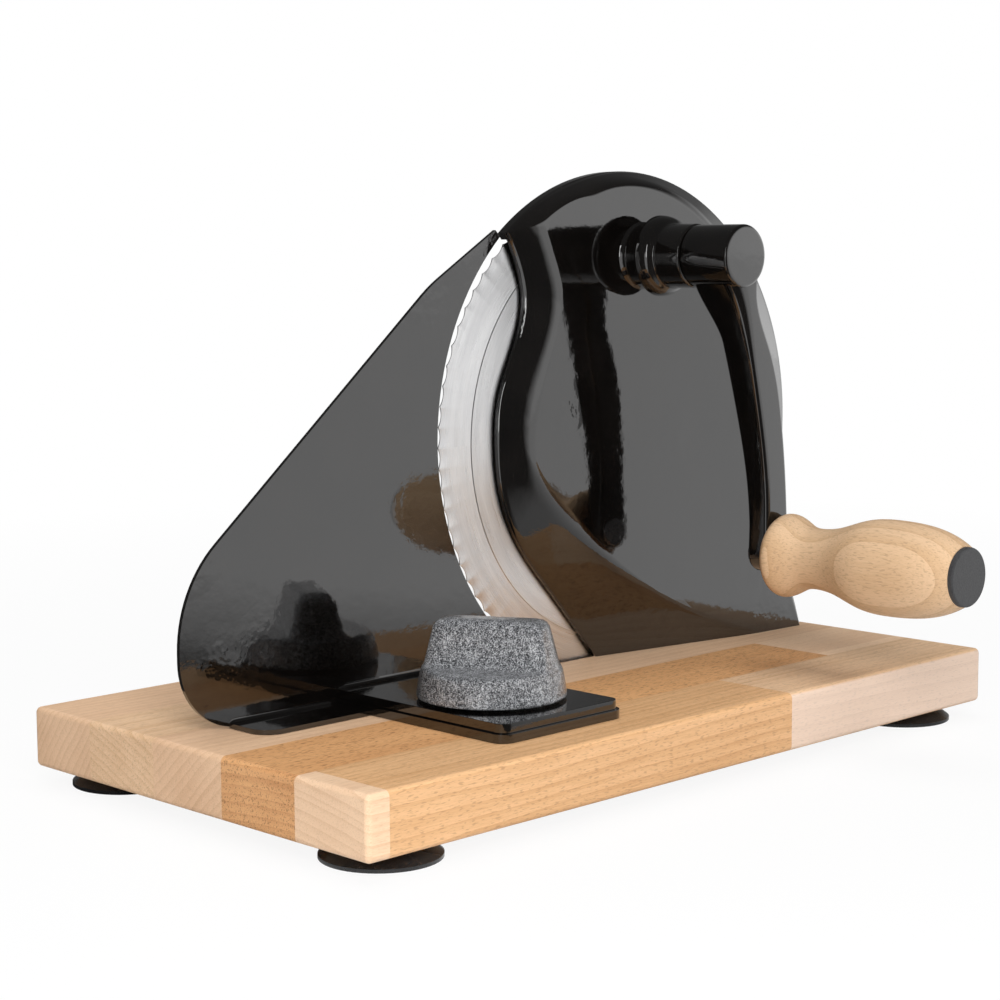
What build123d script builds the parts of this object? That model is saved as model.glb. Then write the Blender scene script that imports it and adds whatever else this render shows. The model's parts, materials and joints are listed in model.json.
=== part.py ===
"""Hand cranked bread slicer: a toothed disc blade on a beech board, geared to a crank.

Frame: +Z up, the suction feet stand on Z = 0, the board's long side runs along X, and -Y is the
side of the crank and of the falling slices. All sizes are in millimetres. Depths named v are
measured from the board's middle line, and grow away from the crank.
"""

from build123d import *
import os
from math import acos, cos, pi, radians, sin, sqrt, tan

os.makedirs("parts", exist_ok=True)

# ---------------------------------------------------------------- driving sizes
# Beech board, glued up from five staves, two of them from shorter lengths
board_length = 320.0
board_width = 175.0
board_thickness = 21.0
board_edge = 2.0
stave_width = 36.0
end_block_length = 8.5
near_butt_x = 40.0
second_butt_x = 106.0

# Suction feet
cup_radius = 19.5
cup_height = 6.0
cup_neck_radius = 9.0
cup_lip = 1.2
cup_skin = 1.6
cup_crown = 3.6
cup_inset_x = 24.0
cup_inset_y = 21.5
cup_screw_radius = 2.0
cup_screw_head_radius = 4.0
cup_screw_head = 1.4
cup_screw_bite = 13.0

# Blade
blade_diameter = 190.0
blade_thickness = 1.6
blade_edge_thickness = 0.5
ground_width = 15.5
blade_centre_x = 57.7
blade_dip = 8.9
blade_v = 11.0
tooth_count = 80
tooth_depth = 1.1
tooth_share = 0.9
slot_side_play = 1.0
slot_end_play = 6.0
slot_depth_play = 4.0

# Gear drive: a pinion on the crank's shaft, above a gear that is screwed to the blade
crank_inset = 27.5
gear_teeth = 66
pinion_teeth = 24
pressure_angle = 20.0
tooth_backlash = 0.35
gear_width = 5.0
pinion_width = 4.6
pinion_blade_gap = 0.4
gear_web = 3.2
gear_rim = 7.5
gear_hub_radius = 17.0
gear_screw_circle = 30.0
gear_screw_radius = 2.0
gear_screw_head_radius = 3.2
gear_screw_count = 3

# Blade bearing
axle_radius = 6.0
axle_collar = 0.8
axle_collar_radius = 8.0
axle_seat = 2.0
running_play = 0.05
end_play = 0.1
hub_bush_wall = 2.5
blade_screw_radius = 3.0
blade_screw_reach = 8.0
blade_screw_head_radius = 12.0
blade_screw_head = 2.6
coin_slot_width = 2.4
coin_slot_depth = 1.2
blade_washer_radius = 10.0
blade_washer_thickness = 0.8

# Housing, a dished casting in front of the blade
rim_play = 1.5
rim_wall = 3.0
blade_side_play = 0.7
rim_lead = 0.2
face_lead = 12.0
face_slope = 0.05
face_inset = 25.9
face_drop = 4.2
face_shift = -8.4
face_tip_angle = 129.0
face_side_angle = -5.0
face_rounding = 2.5
tip_angle = 130.0
tip_length = 3.6
base_left = -15.6
base_right = 98.3
base_face_left = 66.0
base_face_right = 96.8
# Run of the flanks from the tip down to the base, and of the right side from the base up,
# in parts of the blade's radius from its centre: first at the rear, then at the face
left_rear = (
    (-0.593, 0.648),
    (-0.574, 0.557),
    (-0.632, 0.344),
    (-0.704, 0.172),
    (-0.721, -0.004),
    (-0.698, -0.195),
    (-0.589, -0.424),
    (-0.443, -0.594),
)
left_front = (
    (-0.519, 0.715),
    (-0.480, 0.578),
    (-0.537, 0.336),
    (-0.600, 0.146),
    (-0.614, -0.054),
    (-0.538, -0.187),
    (-0.404, -0.317),
    (-0.126, -0.545),
)
right_rear = (
    (1.037, -0.769),
    (1.041, -0.496),
    (1.045, -0.159),
)
right_front = (
    (0.956, -0.769),
    (0.803, -0.496),
    (0.708, -0.159),
)
gear_pocket_play = 2.5
pinion_pocket_play = 2.0
pocket_floor_play = 1.1
collar_radius = 16.2
collar_length = 8.5
collar_rounding = 3.0
sleeve_radius = 11.9
sleeve_length = 27.5
sleeve_bevel = 0.8
housing_screw_radius = 2.5
housing_screw_head_radius = 4.5
housing_screw_head = 4.0
screw_head_play = 0.5
housing_screw_sink = 5.0
housing_screw_bite = 13.0
housing_screw_first = 92.0
housing_screw_pitch = 27.0
housing_screw_count = 3
housing_screw_setback = 4.4

# Crank
shaft_radius = 5.0
bush_wall = 2.5
bush_flange = 0.9
bush_flange_wall = 3.0
key_size = 2.0
hub_gap = 0.4
hub_length = 22.0
hub_radius = 11.5
hub_bevel = 1.0
shaft_end_wall = 4.0
handle_reach_x = 21.3
handle_drop = 111.6
arm_top_width = 17.0
arm_end_radius = 7.0
arm_front_setback = 0.6
arm_top_depth = 20.4
arm_knee_depth = 13.6
arm_end_depth = 9.4
grub_radius = 2.5
grub_length = 6.0
grub_setback = 8.0

# Handle
pin_radius = 4.0
pin_foot_radius = 5.5
pin_foot = 1.0
pin_nut_radius = 6.0
pin_nut = 3.0
handle_washer_radius = 8.5
handle_washer_thickness = 0.5
handle_gap = 0.3
grip_length = 81.0
grip_inner_radius = 11.5
grip_flare_radius = 15.6
grip_throat_radius = 12.1
grip_neck_radius = 11.3
grip_rise_radius = 12.4
grip_swell_radius = 16.5
grip_belly_radius = 17.4
grip_hip_radius = 15.3
grip_end_radius = 10.9
grip_flare_at = 4.0
grip_throat_at = 13.2
grip_neck_at = 20.0
grip_rise_at = 27.7
grip_swell_at = 41.0
grip_belly_at = 54.0
grip_hip_at = 71.0
cap_radius = 10.6
cap_thickness = 2.0
cap_spigot = 1.5
cap_bevel = 0.7
nut_recess_radius = 7.4
nut_recess = 6.5

# Fence, an angled steel plate that sets the thickness of the slice
fence_thickness = 1.5
fence_gap = 1.0
fence_shift_x = 4.0
fence_shift_z = 1.6
fence_left = 211.3
fence_lower_radius = 24.0
fence_upper_radius = 45.0
fence_slope = 40.4
fence_brow_x = -98.9
fence_brow_z = 57.9
fence_nose_angle = 133.0
fence_nose_x = 2.3
fence_nose_z = 2.4
fence_brow_radius = 60.0
fence_lift = 0.3
fence_flange = 19.0
fence_flange_left = 134.0
fence_flange_corner = 8.0
slice_travel = 18.0

# Foot of the fence, and its clamp
foot_left = 87.0
foot_right = 31.0
foot_reach = 81.0
foot_thickness = 3.2
glide_thickness = 3.0
glide_lip = 1.2
foot_corner = 4.0
slide_play = 0.1
rivet_radius = 2.0
rivet_spread = 36.0
clamp_x = -59.5
clamp_v = -37.0
knob_radius = 25.5
knob_band = 10.5
knob_band_taper = 1.7
knob_height = 26.5
knob_grip_length = 45.0
knob_grip_top_length = 37.0
knob_grip_width = 19.0
knob_grip_top_width = 12.0
knob_grip_turn = -60.0
knob_rounding = 1.6
stud_radius = 4.0
stud_play = 0.4
stud_grip = 9.0
clamp_washer_radius = 11.0
clamp_washer_thickness = 0.7
insert_wall = 2.5
insert_length = 12.0

# ---------------------------------------------------------------- places that follow
board_bottom = cup_height
board_top = board_bottom + board_thickness
blade_radius = blade_diameter / 2
blade_x = blade_centre_x
blade_z = board_top - blade_dip + blade_radius
blade_back_v = blade_v + blade_thickness
rim_radius = blade_radius + rim_play + rim_wall

crank_rise = blade_radius - crank_inset
crank_x = blade_x
crank_z = blade_z + crank_rise
gear_module = 2 * crank_rise / (gear_teeth + pinion_teeth)
gear_outer = gear_module * (gear_teeth / 2 + 1)
pinion_outer = gear_module * (pinion_teeth / 2 + 1)

recess_v = blade_v - blade_side_play
rim_v = blade_back_v + rim_lead
face_v = blade_v - face_lead
gear_front_v = blade_v - gear_width
pocket_v = gear_front_v - pocket_floor_play
pinion_back_v = blade_v - pinion_blade_gap
pinion_front_v = pinion_back_v - pinion_width
sleeve_end_v = face_v - sleeve_length
hub_back_v = sleeve_end_v - hub_gap
hub_front_v = hub_back_v - hub_length
arm_front_v = hub_front_v + arm_front_setback

handle_x = crank_x + handle_reach_x
handle_z = crank_z - handle_drop
washer_front_v = arm_front_v - handle_washer_thickness
grip_back_v = washer_front_v - handle_gap
grip_end_v = grip_back_v - grip_length
cap_end_v = grip_end_v - cap_thickness

# The board's middle line lies so that the whole tool is centred on Y = 0
middle_y = (-cap_end_v - board_width / 2) / 2

fence_back_v = blade_v + fence_thickness
fence_bottom = board_top + fence_lift
glide_top = board_top + slide_play + glide_thickness
foot_top = glide_top + foot_thickness
washer_top = foot_top + slide_play + clamp_washer_thickness
clamp_y = middle_y + clamp_v


def facing(v, x=0.0, z=0.0):
    """Upright plane at depth v that faces the crank's side; local x is X, local y is Z."""
    return Plane(origin=(x, middle_y + v, z), x_dir=(1, 0, 0), z_dir=(0, -1, 0))


def level(z, x=0.0, y=0.0):
    """Level plane at height z."""
    return Plane(origin=(x, y, z), x_dir=(1, 0, 0), z_dir=(0, 0, 1))


def lathe(x, z, v=0.0):
    """Plane through an axis along Y; local x is the radius, local y grows towards the crank."""
    return Plane(origin=(x, middle_y + v, z), x_dir=(0, 0, 1), z_dir=(1, 0, 0))


def save(part, name):
    """Label a finished piece and write it."""
    part.label = name
    export_step(part, "parts/" + name + ".step")


crank_axis = Axis((crank_x, middle_y, crank_z), (0, 1, 0))
blade_axis = Axis((blade_x, middle_y, blade_z), (0, 1, 0))
handle_axis = Axis((handle_x, middle_y, handle_z), (0, 1, 0))

# Places of the screws that hold the housing, and of the one that holds the arm on its shaft
housing_screw_spots = []
for number in range(housing_screw_count):
    housing_screw_spots.append(
        (
            housing_screw_first + number * housing_screw_pitch,
            middle_y + blade_v - housing_screw_setback,
        )
    )
grub_plane = Plane(
    origin=(crank_x + shaft_radius, middle_y + hub_back_v - grub_setback, crank_z),
    z_dir=(1, 0, 0),
)

# ---------------------------------------------------------------- board
with BuildPart() as blank:
    with BuildSketch(level(board_bottom, 0, middle_y)):
        Rectangle(board_length, board_width)
    extrude(amount=board_thickness)
    fillet(blank.edges(), radius=board_edge)

slot_chord = sqrt(blade_radius**2 - (blade_z - board_top) ** 2)
insert_radius = stud_radius + running_play + insert_wall

with BuildPart() as board_cuts:
    # slot that the blade dips into
    with BuildSketch(facing(blade_v - slot_side_play, blade_x, board_top)):
        with Locations((0, -(blade_dip + slot_depth_play) / 2)):
            Rectangle(2 * (slot_chord + slot_end_play), blade_dip + slot_depth_play)
    extrude(amount=-(blade_thickness + 2 * slot_side_play))
    # bore of the clamp's threaded insert
    with BuildSketch(level(board_top, clamp_x, clamp_y)):
        Circle(insert_radius)
    extrude(amount=-insert_length)
    # housing screws, with their heads sunk in the underside
    with BuildSketch(level(board_bottom)):
        with Locations(*housing_screw_spots):
            Circle(housing_screw_head_radius + screw_head_play)
    extrude(amount=housing_screw_sink)
    with BuildSketch(level(board_bottom)):
        with Locations(*housing_screw_spots):
            Circle(housing_screw_radius)
    extrude(amount=board_thickness)
    # screws of the feet
    with BuildSketch(level(board_bottom, 0, middle_y)):
        with GridLocations(board_length - 2 * cup_inset_x, board_width - 2 * cup_inset_y, 2, 2):
            Circle(cup_screw_radius)
    extrude(amount=cup_screw_bite)


def stave(name, x_from, x_to, v_from, v_to):
    """One length of beech, cut out of the rounded board."""
    with BuildPart() as piece:
        add(blank.part)
        with BuildSketch(level(board_bottom, 0, middle_y)):
            with Locations(((x_from + x_to) / 2, (v_from + v_to) / 2)):
                Rectangle(x_to - x_from, v_to - v_from)
        extrude(amount=board_thickness, mode=Mode.INTERSECT)
        add(board_cuts.part, mode=Mode.SUBTRACT)
    save(piece.part, name)


half_length = board_length / 2
half_width = board_width / 2
joint_1 = -1.5 * stave_width
joint_2 = -0.5 * stave_width
stave("stave_1_end", -half_length, -half_length + end_block_length, -half_width, joint_1)
stave("stave_1_main", -half_length + end_block_length, near_butt_x, -half_width, joint_1)
stave("stave_1_right", near_butt_x, half_length, -half_width, joint_1)
stave("stave_2_left", -half_length, second_butt_x, joint_1, joint_2)
stave("stave_2_right", second_butt_x, half_length, joint_1, joint_2)
stave("stave_3", -half_length, half_length, joint_2, -joint_2)
stave("stave_4", -half_length, half_length, -joint_2, -joint_1)
stave("stave_5", -half_length, half_length, -joint_1, half_width)

# ---------------------------------------------------------------- suction feet
cup_ceiling = board_bottom - cup_crown
cup_mid_radius = (cup_neck_radius + cup_radius) / 2

with BuildPart() as cup:
    with BuildSketch(Plane.XZ):
        with BuildLine():
            Polyline(
                (0, board_bottom),
                (cup_neck_radius, board_bottom),
                (cup_neck_radius, board_bottom - cup_lip),
            )
            ThreePointArc(
                (cup_neck_radius, board_bottom - cup_lip),
                (cup_mid_radius, board_bottom - 1.6 * cup_lip),
                (cup_radius, cup_lip),
            )
            Polyline(
                (cup_radius, cup_lip),
                (cup_radius, 0),
                (cup_radius - cup_lip, 0),
            )
            ThreePointArc(
                (cup_radius - cup_lip, 0),
                (cup_mid_radius, board_bottom - 1.6 * cup_lip - cup_skin),
                (cup_screw_head_radius, cup_ceiling),
            )
            Polyline(
                (cup_screw_head_radius, cup_ceiling),
                (0, cup_ceiling),
                (0, board_bottom),
            )
        make_face()
    revolve(axis=Axis.Z)
    with BuildSketch(level(cup_ceiling)):
        Circle(cup_screw_head_radius)
    extrude(amount=cup_screw_head, mode=Mode.SUBTRACT)
    with BuildSketch(level(cup_ceiling)):
        Circle(cup_screw_radius)
    extrude(amount=cup_height, mode=Mode.SUBTRACT)

with BuildPart() as cup_screw:
    with BuildSketch(level(cup_ceiling)):
        Circle(cup_screw_head_radius)
    extrude(amount=cup_screw_head)
    with BuildSketch(level(cup_ceiling)):
        Circle(cup_screw_radius)
    extrude(amount=cup_crown + cup_screw_bite)
    with BuildSketch(level(cup_ceiling)):
        Rectangle(1.6 * cup_screw_head_radius, cup_screw_head / 2)
    extrude(amount=cup_screw_head / 2, mode=Mode.SUBTRACT)

with BuildPart() as suction_feet:
    with GridLocations(board_length - 2 * cup_inset_x, board_width - 2 * cup_inset_y, 2, 2):
        with Locations((0, middle_y)):
            add(cup.part)
save(suction_feet.part, "suction_feet")

with BuildPart() as foot_screws:
    with GridLocations(board_length - 2 * cup_inset_x, board_width - 2 * cup_inset_y, 2, 2):
        with Locations((0, middle_y)):
            add(cup_screw.part)
save(foot_screws.part, "foot_screws")

# ---------------------------------------------------------------- blade
gear_bore = axle_radius + running_play + hub_bush_wall
scallop_half = tooth_share * pi * blade_radius / tooth_count
scallop_radius = (scallop_half**2 + tooth_depth**2) / (2 * tooth_depth)

with BuildPart() as blade:
    with BuildSketch(facing(blade_back_v, blade_x, blade_z)):
        Circle(blade_radius)
        with PolarLocations(blade_radius - tooth_depth + scallop_radius, tooth_count):
            Circle(scallop_radius, mode=Mode.SUBTRACT)
        Circle(gear_bore, mode=Mode.SUBTRACT)
        with PolarLocations(gear_screw_circle, gear_screw_count, start_angle=90):
            Circle(gear_screw_radius, mode=Mode.SUBTRACT)
    extrude(amount=blade_thickness)
    # hollow bevel that is ground on the side of the slices
    with BuildSketch(lathe(blade_x, blade_z, blade_v)):
        with BuildLine():
            Polyline(
                (blade_radius - ground_width, 0),
                (blade_radius + 1, -(blade_thickness - blade_edge_thickness)),
                (blade_radius + 1, blade_thickness),
                (blade_radius - ground_width, blade_thickness),
                close=True,
            )
        make_face()
    revolve(axis=blade_axis, mode=Mode.SUBTRACT)
    # seats of the countersunk screws, on the side of the loaf
    for number in range(gear_screw_count):
        turn = radians(90 + number * 360 / gear_screw_count)
        spot = (
            blade_x + gear_screw_circle * cos(turn),
            middle_y + blade_back_v,
            blade_z + gear_screw_circle * sin(turn),
        )
        with Locations(Plane(origin=spot, z_dir=(0, 1, 0))):
            CounterSinkHole(gear_screw_radius, gear_screw_head_radius, depth=blade_thickness)
save(blade.part, "blade")

# ---------------------------------------------------------------- housing
face_radius = rim_radius - face_inset
face_rise = rim_radius - face_drop - face_radius
base_z = board_top - blade_z


def on_rim(angle, inset=0.0):
    """Point near the rear rim, from the blade's centre."""
    reach = rim_radius - inset
    return (reach * cos(radians(angle)), reach * sin(radians(angle)))


def on_face(angle, inset=0.0):
    """Point near the round top of the face, from the blade's centre."""
    reach = face_radius - inset
    return (face_shift + reach * cos(radians(angle)), face_rise + reach * sin(radians(angle)))


def between(rear, front, share):
    """Point on the way from the rear outline to the face's outline."""
    return (rear[0] + (front[0] - rear[0]) * share, rear[1] + (front[1] - rear[1]) * share)


def flank(rear, front, share):
    """Points of one flank on the way from the rear to the face."""
    points = []
    for back, fore in zip(rear, front):
        point = between(back, fore, share)
        points.append((point[0] * blade_radius, point[1] * blade_radius))
    return points


def section_plane(share):
    """Plane of one section of the housing, from 0 at the rear to 1 at the face."""
    slope = face_slope * share
    depth = recess_v + (face_v - recess_v) * share
    return Plane(
        origin=(blade_x, middle_y + depth, blade_z),
        x_dir=(1, -slope, 0),
        z_dir=(-slope, -1, 0),
    )


def outline(share):
    """Closed outline of the housing at one section."""
    foot_left_point = (base_left + (base_face_left - base_left) * share, base_z)
    foot_right_point = (base_right + (base_face_right - base_right) * share, base_z)
    side = between(on_rim(0), on_face(face_side_angle), share)
    crown = between(
        on_rim(tip_angle / 2),
        on_face((face_side_angle + face_tip_angle) / 2),
        share,
    )
    tip = between(on_rim(tip_angle), on_face(face_tip_angle), share)
    tip_end = between(on_rim(tip_angle, tip_length), on_face(face_tip_angle, tip_length), share)
    with BuildLine(Plane.XY) as line:
        Line(foot_left_point, foot_right_point)
        Spline(foot_right_point, *flank(right_rear, right_front, share), side)
        ThreePointArc(side, crown, tip)
        Line(tip, tip_end)
        Spline(tip_end, *flank(left_rear, left_front, share), foot_left_point)
    return line.line


crank_bush_radius = shaft_radius + running_play + bush_wall

rear_outline = outline(0)
face_outline = outline(1)

with BuildPart() as housing:
    with BuildSketch(section_plane(0)):
        add(rear_outline)
        make_face()
    with BuildSketch(section_plane(1)):
        add(face_outline)
        make_face()
    loft(ruled=True)
    face_edges = housing.faces().sort_by(Axis.Y)[0].edges()
    fillet(face_edges.sort_by(Axis.Z)[1:], radius=face_rounding)
    # rim that stands round the blade, and the foot beside it
    with BuildSketch(section_plane(0)):
        add(rear_outline)
        make_face()
        Circle(blade_radius + rim_play, mode=Mode.SUBTRACT)
    extrude(amount=recess_v - rim_v)
    # boss that carries the crank
    with BuildSketch(lathe(crank_x, crank_z)):
        with BuildLine():
            Polyline(
                (0, -pocket_v),
                (collar_radius, -pocket_v),
                (collar_radius, collar_length - face_v),
                (sleeve_radius, collar_length - face_v),
                (sleeve_radius, -sleeve_end_v),
                (0, -sleeve_end_v),
                close=True,
            )
        make_face()
    revolve(axis=crank_axis)
    rings = housing.edges().filter_by(GeomType.CIRCLE)
    collar_rings = rings.filter_by(lambda edge: abs(edge.radius - collar_radius) < 0.01)
    fillet(collar_rings.sort_by(Axis.Y)[0], radius=collar_rounding)
    sleeve_rings = rings.filter_by(lambda edge: abs(edge.radius - sleeve_radius) < 0.01)
    chamfer(sleeve_rings.sort_by(Axis.Y)[0], length=sleeve_bevel)
    # pockets of the gear and of the pinion, open to the blade
    with BuildSketch(facing(recess_v)):
        with Locations((blade_x, blade_z)):
            Circle(gear_outer + gear_pocket_play)
        with Locations((crank_x, crank_z)):
            Circle(pinion_outer + pinion_pocket_play)
    extrude(amount=recess_v - pocket_v, mode=Mode.SUBTRACT)
    # bore of the crank's bush, blind bore of the blade's axle
    with BuildSketch(facing(pocket_v, crank_x, crank_z)):
        Circle(crank_bush_radius)
    extrude(amount=pocket_v - sleeve_end_v, mode=Mode.SUBTRACT)
    with BuildSketch(facing(pocket_v, blade_x, blade_z)):
        Circle(axle_radius)
    extrude(amount=pocket_v - face_v - axle_seat, mode=Mode.SUBTRACT)
    # threads of the screws that come up through the board
    with BuildSketch(level(board_top)):
        with Locations(*housing_screw_spots):
            Circle(housing_screw_radius)
    extrude(amount=housing_screw_bite, mode=Mode.SUBTRACT)
save(housing.part, "housing")

with BuildPart() as housing_screws:
    with BuildSketch(level(board_bottom + housing_screw_sink)):
        with Locations(*housing_screw_spots):
            RegularPolygon(housing_screw_head_radius, 6)
    extrude(amount=-housing_screw_head)
    with BuildSketch(level(board_bottom + housing_screw_sink)):
        with Locations(*housing_screw_spots):
            Circle(housing_screw_radius)
    extrude(amount=board_thickness - housing_screw_sink + housing_screw_bite)
save(housing_screws.part, "housing_screws")

with BuildPart() as crank_bush:
    with BuildSketch(facing(pocket_v + bush_flange, crank_x, crank_z)):
        Circle(crank_bush_radius + bush_flange_wall)
        Circle(shaft_radius + running_play, mode=Mode.SUBTRACT)
    extrude(amount=bush_flange)
    with BuildSketch(facing(pocket_v, crank_x, crank_z)):
        Circle(crank_bush_radius)
        Circle(shaft_radius + running_play, mode=Mode.SUBTRACT)
    extrude(amount=pocket_v - sleeve_end_v)
save(crank_bush.part, "crank_bush")

# ---------------------------------------------------------------- blade's bearing
axle_end_v = blade_back_v + end_play
washer_back_v = axle_end_v + blade_washer_thickness
screw_back_v = washer_back_v + blade_screw_head

with BuildPart() as blade_axle:
    with BuildSketch(facing(axle_end_v, blade_x, blade_z)):
        Circle(axle_radius)
    extrude(amount=axle_end_v - face_v - axle_seat)
    with BuildSketch(facing(pocket_v + axle_collar, blade_x, blade_z)):
        Circle(axle_collar_radius)
    extrude(amount=axle_collar)
    with BuildSketch(facing(axle_end_v, blade_x, blade_z)):
        Circle(blade_screw_radius)
    extrude(amount=blade_screw_reach, mode=Mode.SUBTRACT)
save(blade_axle.part, "blade_axle")

with BuildPart() as blade_washer:
    with BuildSketch(facing(washer_back_v, blade_x, blade_z)):
        Circle(blade_washer_radius)
        Circle(blade_screw_radius, mode=Mode.SUBTRACT)
    extrude(amount=blade_washer_thickness)
save(blade_washer.part, "blade_washer")

with BuildPart() as blade_screw:
    with BuildSketch(facing(screw_back_v, blade_x, blade_z)):
        Circle(blade_screw_head_radius)
    extrude(amount=blade_screw_head)
    fillet(blade_screw.edges().sort_by(Axis.Y)[-1], radius=0.4 * blade_screw_head)
    with BuildSketch(facing(washer_back_v, blade_x, blade_z)):
        Circle(blade_screw_radius)
    extrude(amount=blade_washer_thickness + blade_screw_reach)
    with BuildSketch(facing(screw_back_v, blade_x, blade_z)):
        Rectangle(2 * blade_screw_head_radius, coin_slot_width)
    extrude(amount=coin_slot_depth, mode=Mode.SUBTRACT)
save(blade_screw.part, "blade_screw")

with BuildPart() as hub_bush:
    with BuildSketch(facing(blade_back_v, blade_x, blade_z)):
        Circle(gear_bore)
        Circle(axle_radius + running_play, mode=Mode.SUBTRACT)
    extrude(amount=blade_back_v - pocket_v - axle_collar - end_play)
save(hub_bush.part, "hub_bush")


# ---------------------------------------------------------------- gears
def involute(angle):
    """Involute function of an angle in radians."""
    return tan(angle) - angle


def gear_points(teeth, first_tooth):
    """Corners of a toothed outline, round the gear's centre; first_tooth is its angle in degrees."""
    pitch_radius = gear_module * teeth / 2
    base_radius = pitch_radius * cos(radians(pressure_angle))
    root_radius = pitch_radius - 1.25 * gear_module
    tip_radius = pitch_radius + gear_module
    half_pitch_tooth = pi / (2 * teeth) - tooth_backlash / (4 * pitch_radius)
    corners = []
    for radius in (root_radius, pitch_radius, tip_radius):
        lean = acos(base_radius / max(radius, base_radius))
        half_tooth = half_pitch_tooth + involute(radians(pressure_angle)) - involute(lean)
        corners.append((radius, half_tooth))
    points = []
    for tooth in range(teeth):
        middle = radians(first_tooth) + 2 * pi * tooth / teeth
        for radius, half_tooth in corners:
            points.append((radius * cos(middle - half_tooth), radius * sin(middle - half_tooth)))
        for radius, half_tooth in reversed(corners):
            points.append((radius * cos(middle + half_tooth), radius * sin(middle + half_tooth)))
    return points


with BuildPart() as pinion:
    with BuildSketch(facing(pinion_back_v, crank_x, crank_z)):
        with BuildLine():
            Polyline(*gear_points(pinion_teeth, -90), close=True)
        make_face()
        Circle(shaft_radius, mode=Mode.SUBTRACT)
        with Locations((0, shaft_radius)):
            Rectangle(key_size, key_size, mode=Mode.SUBTRACT)
    extrude(amount=pinion_width)
save(pinion.part, "pinion")

with BuildPart() as blade_gear:
    with BuildSketch(facing(blade_v, blade_x, blade_z)):
        with BuildLine():
            Polyline(*gear_points(gear_teeth, 90 + 180 / gear_teeth), close=True)
        make_face()
        Circle(gear_bore, mode=Mode.SUBTRACT)
        with PolarLocations(gear_screw_circle, gear_screw_count, start_angle=90):
            Circle(gear_screw_radius, mode=Mode.SUBTRACT)
    extrude(amount=gear_width)
    with BuildSketch(facing(gear_front_v, blade_x, blade_z)):
        Circle(gear_outer - gear_rim)
        Circle(gear_hub_radius, mode=Mode.SUBTRACT)
    extrude(amount=-(gear_width - gear_web), mode=Mode.SUBTRACT)
save(blade_gear.part, "blade_gear")

sink_depth = (gear_screw_head_radius - gear_screw_radius) / tan(radians(41))
with BuildPart() as gear_screws:
    for number in range(gear_screw_count):
        turn = radians(90 + number * 360 / gear_screw_count)
        spot_x = blade_x + gear_screw_circle * cos(turn)
        spot_z = blade_z + gear_screw_circle * sin(turn)
        with BuildSketch(facing(blade_back_v, spot_x, spot_z)):
            Circle(gear_screw_radius)
        extrude(amount=blade_thickness + gear_web)
        with BuildSketch(facing(blade_back_v, spot_x, spot_z)):
            Circle(gear_screw_head_radius)
        extrude(amount=sink_depth, taper=41)
save(gear_screws.part, "gear_screws")

# ---------------------------------------------------------------- crank
shaft_front_v = hub_front_v + shaft_end_wall
pin_back_v = arm_front_v + arm_end_depth
nut_floor_v = grip_end_v + nut_recess
nut_front_v = nut_floor_v - handle_gap - pin_nut

with BuildPart() as crank_shaft:
    with BuildSketch(facing(pinion_back_v, crank_x, crank_z)):
        Circle(shaft_radius)
    extrude(amount=pinion_back_v - shaft_front_v)
    with BuildSketch(facing(pinion_back_v, crank_x, crank_z)):
        with Locations((0, shaft_radius)):
            Rectangle(key_size, key_size)
    extrude(amount=pinion_width, mode=Mode.SUBTRACT)
save(crank_shaft.part, "crank_shaft")

with BuildPart() as shaft_key:
    with BuildSketch(facing(pinion_back_v, crank_x, crank_z + shaft_radius)):
        Rectangle(key_size, key_size)
    extrude(amount=pinion_width)
save(shaft_key.part, "shaft_key")


def on_arm(reach_share, drop_share):
    """Point of the arm's outline, from the crank's axis, in parts of the way to the handle."""
    return (handle_reach_x * reach_share, -handle_drop * drop_share)


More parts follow.
